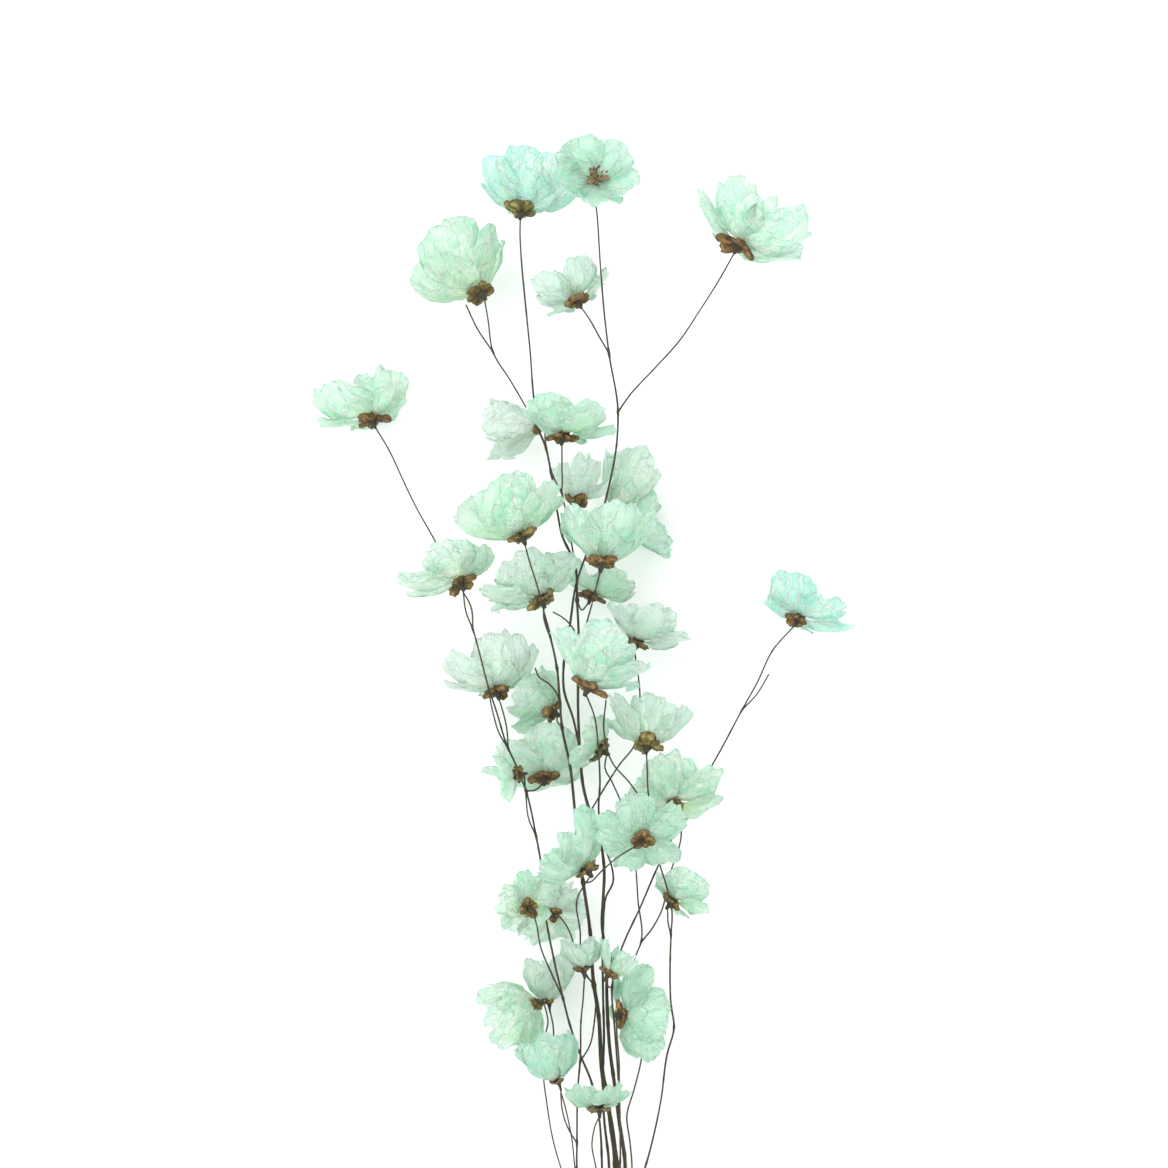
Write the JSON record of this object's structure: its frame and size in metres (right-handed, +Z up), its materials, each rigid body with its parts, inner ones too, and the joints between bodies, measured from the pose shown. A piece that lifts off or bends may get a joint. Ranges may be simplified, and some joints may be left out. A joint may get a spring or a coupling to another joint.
{
  "type": "bunch of dried bougainvillea",
  "caption": "Tied bunch of dried, dyed papery flowers with calyces on thin branching stems, lying on a surface.",
  "frame": {"origin": "on the surface that the bunch lies on, under the middle of its outline", "axes": "+Z up from the surface, +Y along the bunch from the cut stem ends to the flower heads, +X to the right as seen from above"},
  "size_m": [0.2274, 0.503, 0.0973],
  "materials": {
    "petals": "matte",
    "stems": "matte",
    "twine": "matte"
  },
  "bodies": {
    "root": {"petals_01": "petals", "petals_02": "petals", "petals_03": "petals", "petals_04": "petals", "petals_05": "petals", "petals_06": "petals", "petals_07": "petals", "petals_08": "petals", "petals_09": "petals", "petals_10": "petals", "petals_11": "petals", "petals_12": "petals", "petals_13": "petals", "petals_14": "petals", "petals_15": "petals", "petals_16": "petals", "petals_17": "petals", "petals_18": "petals", "petals_19": "petals", "petals_20": "petals", "petals_21": "petals", "petals_22": "petals", "petals_23": "petals", "petals_24": "petals", "petals_25": "petals", "petals_26": "petals", "petals_27": "petals", "petals_28": "petals", "petals_29": "petals", "petals_30": "petals", "petals_31": "petals", "petals_32": "petals", "petals_33": "petals", "petals_34": "petals", "petals_35": "petals", "petals_36": "petals", "petals_37": "petals", "petals_38": "petals", "stem_a": "stems", "stem_b": "stems", "stem_c": "stems", "stem_d": "stems", "stem_e": "stems", "stem_f": "stems", "stem_g": "stems", "stem_h": "stems", "stem_i": "stems", "stem_j": "stems", "stem_k": "stems", "twine_tie": "twine"}
  },
  "joints": []
}
